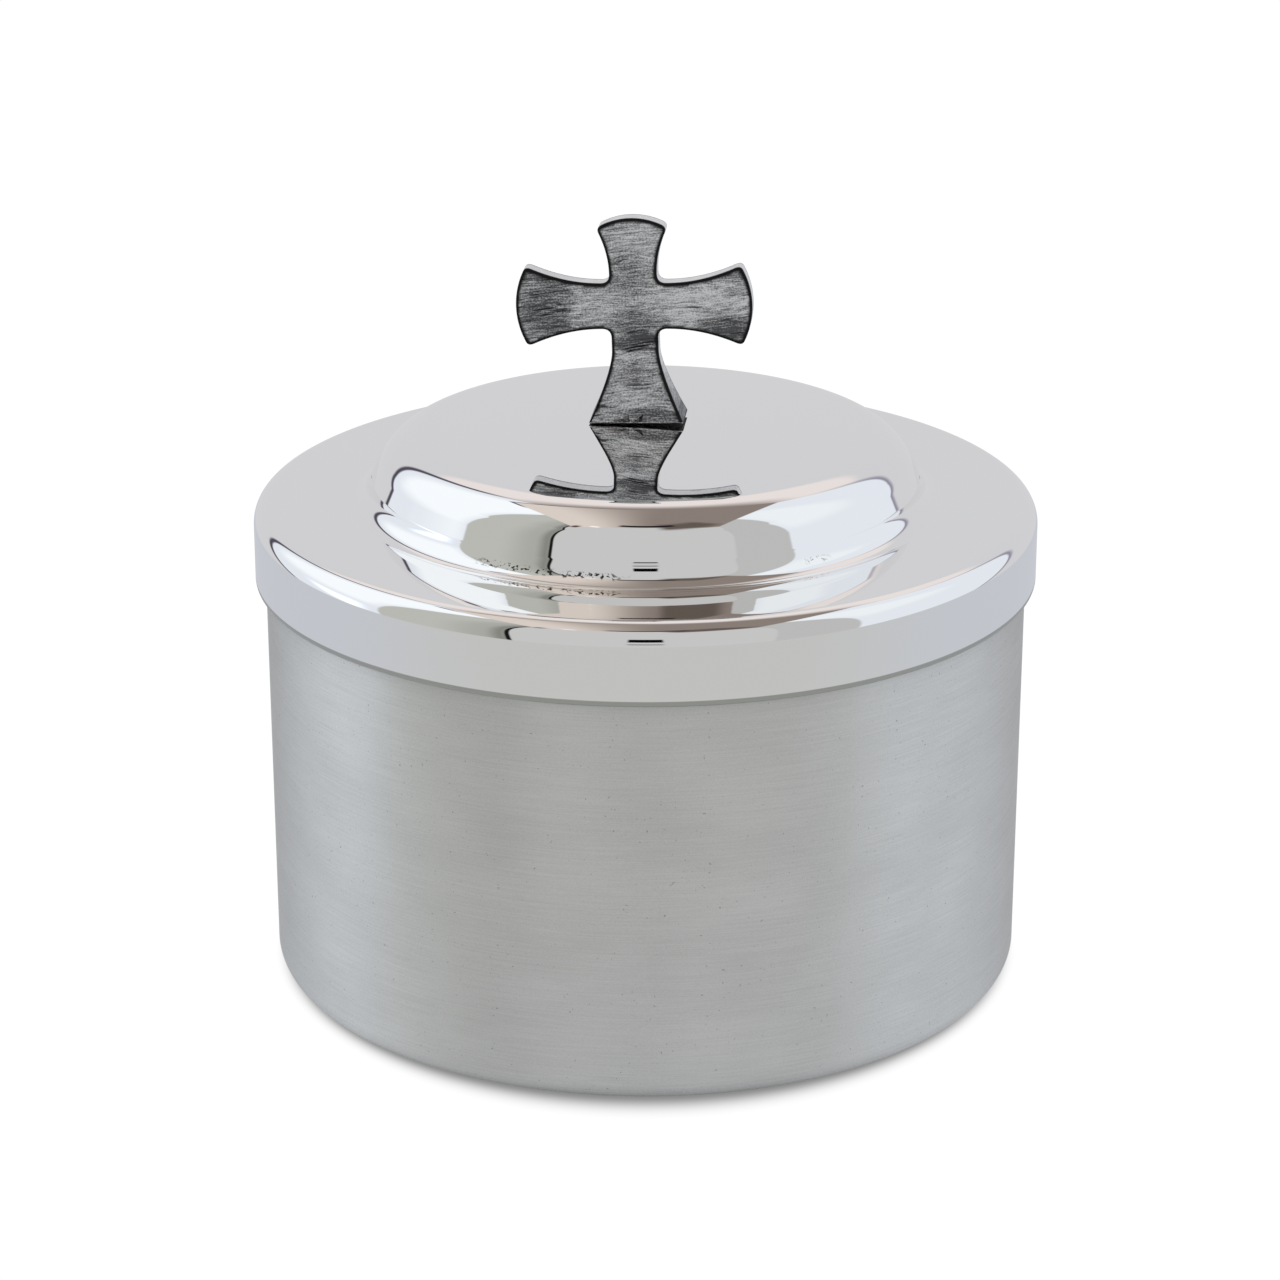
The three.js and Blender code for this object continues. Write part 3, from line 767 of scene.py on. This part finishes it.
def moved_left(corners, distance):
    """The same path moved sideways to its left by the sheet's thickness."""
    moved = []
    for i, (here, rounding) in enumerate(corners):
        before = (here - corners[i - 1][0]).normalized() if i > 0 else None
        after = (corners[i + 1][0] - here).normalized() if i + 1 < len(corners) else None
        before, after = before or after, after or before
        shift = (left_of(before) + left_of(after)) * (distance / (1.0 + before.dot(after)))
        turn = math.copysign(1.0, before.x * after.y - before.y * after.x)
        moved.append((here + shift, max(rounding - turn * distance, 0.0) if rounding > 0 else 0.0))
    return moved


def turned_over(points):
    """The path run backwards, which faces the same way in space when it is the sheet's other side."""
    return [(point, -facing) for point, facing in reversed(points)]


def half_round(start, end):
    """A half-round edge from one side of the sheet to the other."""
    centre = (start + end) / 2
    steps = round(math.pi / (4 * ARC_STEP))
    arc = [turned_by(start - centre, math.pi * step / steps) for step in range(1, steps)]
    return [(centre + spoke, spoke.normalized()) for spoke in arc]


def make_piece(name, vertices, faces, material, normals=None):
    """A mesh object in metres from millimetres. Normals, where given, are one for each vertex."""
    mesh = bpy.data.meshes.new(name)
    mesh.from_pydata([Vector(v) * MM for v in vertices], [], faces)
    mesh.polygons.foreach_set("use_smooth", [True] * len(mesh.polygons))
    mesh.materials.append(material)
    if normals:
        mesh.normals_split_custom_set_from_vertices(normals)
    return add_object(name, mesh)


def turned_piece(name, profile, material, segments=ROUND_SEGMENTS, closed=False, placed=None):
    """A fine turned piece. A point on the axis becomes one vertex, and placed may move a point."""
    vertices, normals, rings = [], [], []
    for point, facing in profile:
        on_axis = point.x < TOLERANCE
        count = 1 if on_axis else segments
        ring = range(len(vertices), len(vertices) + count)
        for step in range(count):
            angle = math.tau * step / segments
            away = Vector((math.cos(angle), math.sin(angle)))
            spot = Vector((away.x * point.x, away.y * point.x, point.y))
            vertices.append(placed(spot, point.x) if placed else spot)
            side = 0.0 if on_axis else facing.x
            normals.append(Vector((away.x * side, away.y * side, facing.y)).normalized())
        rings.append(ring)
    faces = []
    pairs = list(zip(rings, rings[1:])) + ([(rings[-1], rings[0])] if closed else [])
    for low, high in pairs:
        for step in range(segments):
            following = (step + 1) % segments
            a, b = low[step % len(low)], low[following % len(low)]
            c, d = high[following % len(high)], high[step % len(high)]
            faces.append([v for i, v in enumerate((a, b, c, d)) if v not in (a, b, c, d)[:i]])
    return make_piece(name, vertices, faces, material, normals)


# Cup


def cup_corners():
    ring_inner = cup_radius - CUP_CORNER_RADIUS - STANDING_RING_WIDTH
    inner_rounding = SKIRT_CORNER_RADIUS - LID_WALL
    reach = inner_rounding - RUNNING_CLEARANCE
    rise = math.sqrt(inner_rounding**2 - reach**2)
    rim = SHOULDER_HEIGHT - SKIRT_CORNER_RADIUS + rise - SEAT_GAP
    return [
        corner(0.0, PANEL_RISE),
        corner(ring_inner - PANEL_CORNER_RADIUS, PANEL_RISE, PANEL_CORNER_RADIUS),
        corner(ring_inner, 0.0, PANEL_CORNER_RADIUS),
        corner(cup_radius - CUP_TAPER, 0.0, CUP_CORNER_RADIUS),
        corner(cup_radius, rim),
    ]


def make_cup(material):
    outside = rounded_path(cup_corners())
    inside = turned_over(rounded_path(moved_left(cup_corners(), CUP_WALL)))
    rim = half_round(outside[-1][0], inside[0][0])
    cup = turned_piece("cup", outside + rim + inside, material)
    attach(cup, "cup")
    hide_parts("body_cup")


# Lid


def lid_corners():
    slope = math.asin(CROWN_CAP_RADIUS / CROWN_RADIUS)
    tangent_radius = CROWN_RADIUS * math.tan(slope / 2)
    edge_height = crown_top - (CROWN_EDGE_RADIUS - tangent_radius) * math.tan(slope)
    neck_radius = DOME_FOOT_RADIUS - NECK_HEIGHT * math.tan(math.radians(NECK_LEAN))
    neck_top = SHOULDER_HEIGHT + NECK_HEIGHT
    wall_radius = neck_radius - WALL_HEIGHT * math.tan(math.radians(WALL_LEAN))
    return [
        corner(LID_RADIUS, SHOULDER_HEIGHT - SKIRT_HEIGHT),
        corner(LID_RADIUS, SHOULDER_HEIGHT, SKIRT_CORNER_RADIUS),
        corner(DOME_FOOT_RADIUS, SHOULDER_HEIGHT, COVE_RADIUS),
        corner(neck_radius, neck_top, CREASE_RADIUS),
        corner(wall_radius, neck_top + WALL_HEIGHT, WALL_CORNER_RADIUS),
        corner(CROWN_EDGE_RADIUS, edge_height, CROWN_CORNER_RADIUS),
        corner(tangent_radius, crown_top, CROWN_RADIUS),
        corner(0.0, crown_top),
    ]


def to_the_hole(path, top, radius):
    """The path up to the crown, then rings on the crown's sphere in to the hole's edge."""
    kept = [(point, facing) for point, facing in path if point.x > HOLE_BLEND_RADIUS]
    side = math.copysign(1.0, kept[-1][1].y)
    for ring in range(HOLE_RINGS + 1):
        distance = HOLE_BLEND_RADIUS + (hole_radius - HOLE_BLEND_RADIUS) * ring / HOLE_RINGS
        height = top - distance**2 / (2 * radius)
        kept.append((Vector((distance, height)), Vector((distance / radius, 1.0)).normalized() * side))
    return kept


def off_centre(spot, radius):
    """Moves the inner rings of the lid towards the hole, and keeps them on the crown's sphere."""
    if radius >= HOLE_BLEND_RADIUS:
        return spot
    share = (HOLE_BLEND_RADIUS - radius) / (HOLE_BLEND_RADIUS - hole_radius)
    x = spot.x + hole_centre.x * share
    y = spot.y + hole_centre.y * share
    return Vector((x, y, spot.z + (radius**2 - x**2 - y**2) / (2 * CROWN_RADIUS)))


def make_lid(material):
    outside = to_the_hole(rounded_path(lid_corners()), crown_top, CROWN_RADIUS)
    inner_path = rounded_path(moved_left(lid_corners(), LID_WALL))
    inside = turned_over(to_the_hole(inner_path, crown_underside, CROWN_RADIUS - LID_WALL))
    edge = half_round(inside[-1][0], outside[0][0])
    lid = turned_piece("lid", inside + edge + outside, material, closed=True, placed=off_centre)
    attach(lid, "lid")
    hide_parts("lid_shell")


# Cross finial


def between(first, second, share):
    return first + (second - first) * share


def curve_points(start, bend, end):
    """The points of a quadratic curve, without its start."""
    shares = [step / CURVE_STEPS for step in range(1, CURVE_STEPS + 1)]
    return [between(between(start, bend, share), between(bend, end, share), share) for share in shares]


def end_arc(length, bulge, tip):
    """Centre, radius and half angle of a rounded end that stands past its corners by its bulge."""
    radius = (tip**2 + bulge**2) / (2 * bulge)
    return length + bulge - radius, radius, math.asin(tip / radius)


def right_half():
    """Foot, stem, right arm and half of the top arm, seen from the front."""
    foot = -CROSSING_HEIGHT
    flare_top = foot + FOOT_FLARE_HEIGHT
    flare_bend = between(foot, flare_top, FLARE_BEND)
    arm_root = STEM_NARROW + CROTCH_RADIUS
    top_root = ARM_NARROW + CROTCH_RADIUS
    arm_bend = between(arm_root, ARM_LENGTH, ARM_BEND)
    top_bend = between(top_root, TOP_LENGTH, ARM_BEND)
    path = [Vector((0.0, foot)), Vector((FOOT_HALF_WIDTH, foot))]

    def curve_to(bend_x, bend_z, end_x, end_z):
        path.extend(curve_points(path[-1], Vector((bend_x, bend_z)), Vector((end_x, end_z))))

    curve_to(STEM_NARROW, flare_bend, STEM_NARROW, flare_top)
    path.append(Vector((STEM_NARROW, -top_root)))
    curve_to(STEM_NARROW, -ARM_NARROW, arm_root, -ARM_NARROW)
    curve_to(arm_bend, -ARM_NARROW, ARM_LENGTH, -ARM_TIP)
    centre, radius, half = end_arc(ARM_LENGTH, ARM_BULGE, ARM_TIP)
    for step in range(1, 2 * CURVE_STEPS + 1):
        angle = half * (step / CURVE_STEPS - 1.0)
        path.append(Vector((centre + radius * math.cos(angle), radius * math.sin(angle))))
    curve_to(arm_bend, ARM_NARROW, arm_root, ARM_NARROW)
    curve_to(TOP_NARROW, ARM_NARROW, TOP_NARROW, top_root)
    curve_to(TOP_NARROW, top_bend, TOP_TIP, TOP_LENGTH)
    centre, radius, half = end_arc(TOP_LENGTH, TOP_BULGE, TOP_TIP)
    for step in range(1, CURVE_STEPS + 1):
        angle = half * (1.0 - step / CURVE_STEPS)
        path.append(Vector((radius * math.sin(angle), centre + radius * math.cos(angle))))
    return path


def spaced(path):
    """The path with points added so that no run is longer than the outline's spacing."""
    points = [path[0]]
    for start, end in zip(path, path[1:]):
        runs = max(math.ceil((end - start).length / OUTLINE_SPACING), 1)
        points += [between(start, end, run / runs) for run in range(1, runs + 1)]
    return points


def softened(points, tips):
    """The path with a short curve in place of each of the given corners."""
    for tip in tips:
        near = [i for i, point in enumerate(points) if (point - tip).length < TIP_ROUNDING]
        before, after = near[0] - 1, near[-1] + 1
        curve = curve_points(points[before], tip, points[after])[TIP_STEP - 1:-1:TIP_STEP]
        points = points[:before + 1] + curve + points[after:]
    return points


def cross_outline():
    tips = [Vector((ARM_LENGTH, -ARM_TIP)), Vector((ARM_LENGTH, ARM_TIP)), Vector((TOP_TIP, TOP_LENGTH))]
    right = softened(spaced(right_half()), tips)
    left = [Vector((-point.x, point.y)) for point in reversed(right[1:-1])]
    return right + left


def outward_shifts(outline):
    """For each point, the mitred step of length one out of the outline, which runs anticlockwise."""
    shifts = []
    for i, here in enumerate(outline):
        before = (here - outline[i - 1]).normalized()
        after = (outline[(i + 1) % len(outline)] - here).normalized()
        shifts.append(-(left_of(before) + left_of(after)) / (1.0 + before.dot(after)))
    return shifts


def flare_share(height):
    """How far up the foot's flare a height lies along its curve, from 0 at the foot to 1 above it."""
    rise = min(max(height + CROSSING_HEIGHT, 0.0), FOOT_FLARE_HEIGHT) / FOOT_FLARE_HEIGHT
    bend = 2.0 * FLARE_BEND
    return (math.sqrt(bend**2 + 4.0 * (1.0 - bend) * rise) - bend) / (2.0 * (1.0 - bend))


def half_depth(height):
    thin = CROSS_THICKNESS / 2
    return thin + (FOOT_HALF_DEPTH - thin) * (1.0 - flare_share(height)) ** 2


def face_facing(height):
    """The way the front face looks at a height, as its steps forwards and up."""
    fall = (half_depth(height - FACING_STEP) - half_depth(height + FACING_STEP)) / (2 * FACING_STEP)
    return Vector((0.0, -1.0, fall)).normalized()


def face_triangles(rim):
    """Points and triangles that fill the outline of a face: its rim and a grid inside it."""
    count = len(rim)
    kept = []
    columns = math.ceil((ARM_LENGTH + ARM_BULGE) / FACE_SPACING)
    rows = range(-math.ceil(CROSSING_HEIGHT / FACE_SPACING), columns + 1)
    for row in rows:
        for column in range(-columns, columns + 1):
            spot = Vector((column + row % 2 / 2, row)) * FACE_SPACING
            if min((spot - point).length for point in rim) > FACE_SPACING / 2:
                kept.append(spot)
    rim_edges = [(i, (i + 1) % count) for i in range(count)]
    whole_rim = [list(range(count))]
    points, _, triangles, *_ = delaunay_2d_cdt(rim + kept, rim_edges, whole_rim, FILL_INSIDE, TOLERANCE)
    used = sorted({i for triangle in triangles for i in triangle})
    place = {old: new for new, old in enumerate(used)}
    return [points[i] for i in used], [[place[i] for i in triangle] for triangle in triangles]


def ring_finish_and_shade(height, turn, inwards):
    """How dark and how bare the metal is on a ring round the cross. The foot's underside is painted black,
    as shade in the gap over the crown.
    """
    flare = flare_share(height)
    bareness = between(SIDE_BARE_FOOT, SIDE_BARE, flare) if turn == 0.0 else 0.0
    # The foot's underside is painted black here, as shade in the gap over the crown.
    if height < HEIGHT_TOLERANCE - CROSSING_HEIGHT:
        darkness = 0.0 if turn > 0.0 else 1.0
    elif inwards > 0.0:
        darkness = between(SIDE_DARK_FOOT, SIDE_DARK, flare)
    else:
        darkness = 1.0
    return darkness, bareness


def make_cross(material):
    outline = cross_outline()
    shifts = outward_shifts(outline)
    rim = [point - shift * CROSS_EDGE for point, shift in zip(outline, shifts)]
    dark_rim = [point for point in rim if point.y > CROSS_EDGE - CROSSING_HEIGHT + HEIGHT_TOLERANCE]
    face_points, triangles = face_triangles(rim)
    count = len(outline)
    vertices, normals, finishes_and_shade, faces = [], [], [], []

    def add_ring(side, turn, inwards=0.0):
        """A ring round the cross: turn is 0 on its sides and grows to a right angle at the face."""
        ring = range(len(vertices), len(vertices) + count)
        for point, shift in zip(outline, shifts):
            spot = point - shift * (CROSS_EDGE * (1.0 - math.cos(turn)))
            depth = half_depth(spot.y) - CROSS_EDGE * (1.0 - math.sin(turn)) - inwards
            vertices.append(Vector((spot.x, side * depth, spot.y)))
            flat = shift.normalized() * math.cos(turn)
            face = face_facing(spot.y) * math.sin(turn)
            normals.append(Vector((flat.x, -side * face.y, flat.y + face.z)).normalized())
            finishes_and_shade.append(ring_finish_and_shade(point.y, turn, inwards))
        return ring

    def add_face(side, ring):
        """The face inside its last ring, dark near its rim except along the foot."""
        indices = list(ring)
        for spot in face_points[count:]:
            indices.append(len(vertices))
            vertices.append(Vector((spot.x, side * half_depth(spot.y), spot.y)))
            face = face_facing(spot.y)
            normals.append(Vector((0.0, -side * face.y, face.z)))
            edge = min((spot - point).length for point in dark_rim)
            finishes_and_shade.append((math.exp(-edge / EDGE_DARK_REACH), 0.0))
        for a, b, c in triangles:
            corners = [indices[a], indices[b], indices[c]]
            faces.append(corners if side < 0 else corners[::-1])

    turns = [math.pi / 2 * step / CROSS_EDGE_STEPS for step in range(CROSS_EDGE_STEPS + 1)]
    rings = [add_ring(-1.0, turn) for turn in reversed(turns)]
    rings += [add_ring(side, 0.0, SIDE_FADE) for side in (-1.0, 1.0)]
    rings += [add_ring(1.0, turn) for turn in turns]
    for near, far in zip(rings, rings[1:]):
        for i in range(count):
            following = (i + 1) % count
            faces.append([near[i], far[i], far[following], near[following]])
    add_face(-1.0, rings[0])
    add_face(1.0, rings[-1])

    cross = make_piece("cross", vertices, faces, material, normals)
    for attribute_name, values in zip(("edge_dark", "side_bare"), zip(*finishes_and_shade)):
        attribute = cross.data.attributes.new(attribute_name, "FLOAT", "POINT")
        attribute.data.foreach_set("value", values)
    turn = Matrix.Rotation(FINIAL_TURN, 4, "Z") @ Matrix.Rotation(FINIAL_LEAN, 4, "Y")
    lift = Matrix.Translation(Vector((0.0, 0.0, CROSSING_HEIGHT)) * MM)
    place = Matrix.Translation(foot_place * MM)
    cross.data.transform(place @ turn @ lift)
    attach(cross, "lid")
    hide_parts("cross_finial")


# Screw and washers


def under_the_crown(piece, node_name):
    """Puts a piece of the fastening on the finial's axis, ties it to the lid and hides the part it stands
    for.
    """
    piece.location = Vector((FINIAL_OFFSET_X, FINIAL_OFFSET_Y, 0.0)) * MM
    bpy.context.view_layer.update()
    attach(piece, "lid")
    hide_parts(node_name)


def cut_slot(screw, head_bottom):
    """Cuts the driver's slot across the head, and then makes the edges sharp where they turn."""
    reach, half = 2 * SCREW_HEAD_RADIUS, SLOT_WIDTH / 2
    heights = (head_bottom - SLOT_DEPTH, head_bottom + SLOT_DEPTH)
    corners = [Vector((x, y, z)) for z in heights for y in (-half, half) for x in (-reach, reach)]
    faces = [(0, 2, 3, 1), (4, 5, 7, 6), (0, 1, 5, 4), (2, 6, 7, 3), (0, 4, 6, 2), (1, 3, 7, 5)]
    cutter = make_piece("slot_cutter", corners, faces, screw.data.materials[0])
    modifier = screw.modifiers.new("slot", "BOOLEAN")
    modifier.operation = "DIFFERENCE"
    modifier.object = cutter
    graph = bpy.context.evaluated_depsgraph_get()
    cut = bpy.data.meshes.new_from_object(screw.evaluated_get(graph))
    screw.modifiers.clear()
    screw.data = cut
    cut.set_sharp_from_angle(angle=SHARP_ANGLE)
    bpy.data.objects.remove(cutter)


def make_screw(material):
    head_bottom = screw_seat - SCREW_HEAD_HEIGHT
    tip = finial_seat + SCREW_ENGAGEMENT
    head = rounded_path([
        corner(0.0, head_bottom),
        corner(SCREW_HEAD_RADIUS, head_bottom, SCREW_HEAD_HEIGHT - SCREW_HEAD_EDGE),
        corner(SCREW_HEAD_RADIUS, screw_seat, WASHER_EDGE),
        corner(SCREW_RADIUS, screw_seat),
    ])
    length = tip - SCREW_TIP_CHAMFER - screw_seat
    rings = round(length / THREAD_PITCH * THREAD_STEPS)
    heights = [screw_seat + length * ring / rings for ring in range(rings + 1)]
    shank = [(Vector((SCREW_RADIUS, height)), Vector((1.0, 0.0))) for height in heights]
    end = [
        (Vector((SCREW_RADIUS - SCREW_TIP_CHAMFER, tip)), Vector((1.0, 1.0)).normalized()),
        (Vector((0.0, tip)), Vector((0.0, 1.0))),
    ]

    def threaded(spot, radius):
        if radius < SCREW_RADIUS or spot.z <= screw_seat or spot.z > tip - SCREW_TIP_CHAMFER:
            return spot
        turn = math.atan2(spot.y, spot.x) / math.tau
        phase = ((spot.z - screw_seat) / THREAD_PITCH - turn) % 1.0
        scale = 1.0 - THREAD_DEPTH / SCREW_RADIUS * abs(2.0 * phase - 1.0)
        return Vector((spot.x * scale, spot.y * scale, spot.z))

    screw = turned_piece("screw", head + shank + end, material, SMALL_SEGMENTS, placed=threaded)
    cut_slot(screw, head_bottom)
    under_the_crown(screw, "finial_screw")


def washer_section(inner, outer, bottom, top):
    return rounded_path([
        corner((inner + outer) / 2, bottom),
        corner(outer, bottom, WASHER_EDGE),
        corner(outer, top, WASHER_EDGE),
        corner(inner, top, WASHER_EDGE),
        corner(inner, bottom, WASHER_EDGE),
        corner((inner + outer) / 2, bottom),
    ])[:-1]


def make_flat_washer(material):
    bore = SCREW_RADIUS + WASHER_BORE_CLEARANCE
    section = washer_section(bore, FLAT_WASHER_RADIUS, lock_washer_top, flat_washer_top)
    washer = turned_piece("flat_washer_steel", section, material, SMALL_SEGMENTS, closed=True)
    under_the_crown(washer, "flat_washer")


def make_lock_washer(material):
    """A split ring, cut on a slant, whose ends stand a little apart in height."""
    bore = SCREW_RADIUS + WASHER_BORE_CLEARANCE
    section = washer_section(bore, LOCK_WASHER_RADIUS, screw_seat, lock_washer_top - LOCK_WASHER_SPRING)
    middle = (screw_seat + lock_washer_top) / 2
    vertices, faces = [], []
    for step in range(SMALL_SEGMENTS + 1):
        share = step / SMALL_SEGMENTS
        for point, _ in section:
            height = point.y + LOCK_WASHER_SPRING * share
            slant = (height - middle) * math.tan(LOCK_WASHER_SPLIT_SLANT)
            gap = LOCK_WASHER_SPLIT / 2 / point.x
            angle = between(gap, math.tau - gap, share) - slant / point.x * abs(2.0 * share - 1.0)
            vertices.append(Vector((point.x * math.cos(angle), point.x * math.sin(angle), height)))
    count = len(section)
    for step in range(SMALL_SEGMENTS):
        for i in range(count):
            following = (i + 1) % count
            low, high = step * count, (step + 1) * count
            faces.append([low + i, high + i, high + following, low + following])
    faces.append(list(range(count)))
    faces.append([SMALL_SEGMENTS * count + i for i in reversed(range(count))])
    washer = make_piece("lock_washer_steel", vertices, faces, material)
    washer.data.set_sharp_from_angle(angle=SHARP_ANGLE)
    under_the_crown(washer, "lock_washer")


# Stage


def make_floor():
    signs = ((-1, -1), (1, -1), (1, 1), (-1, 1))
    mesh = bpy.data.meshes.new("floor")
    mesh.from_pydata([(x * FLOOR_HALF_WIDTH, y * FLOOR_HALF_WIDTH, 0.0) for x, y in signs], [], [range(4)])
    mesh.materials.append(floor_material())
    add_object("floor", mesh)


bpy.context.scene.view_settings.view_transform = "Standard"
make_camera()
make_studio()
make_floor()
make_cup(satin_material())
make_lid(polished_material())
make_cross(oxidised_material())
fastener = fastener_material()
make_screw(fastener)
make_flat_washer(fastener)
make_lock_washer(spring_material())
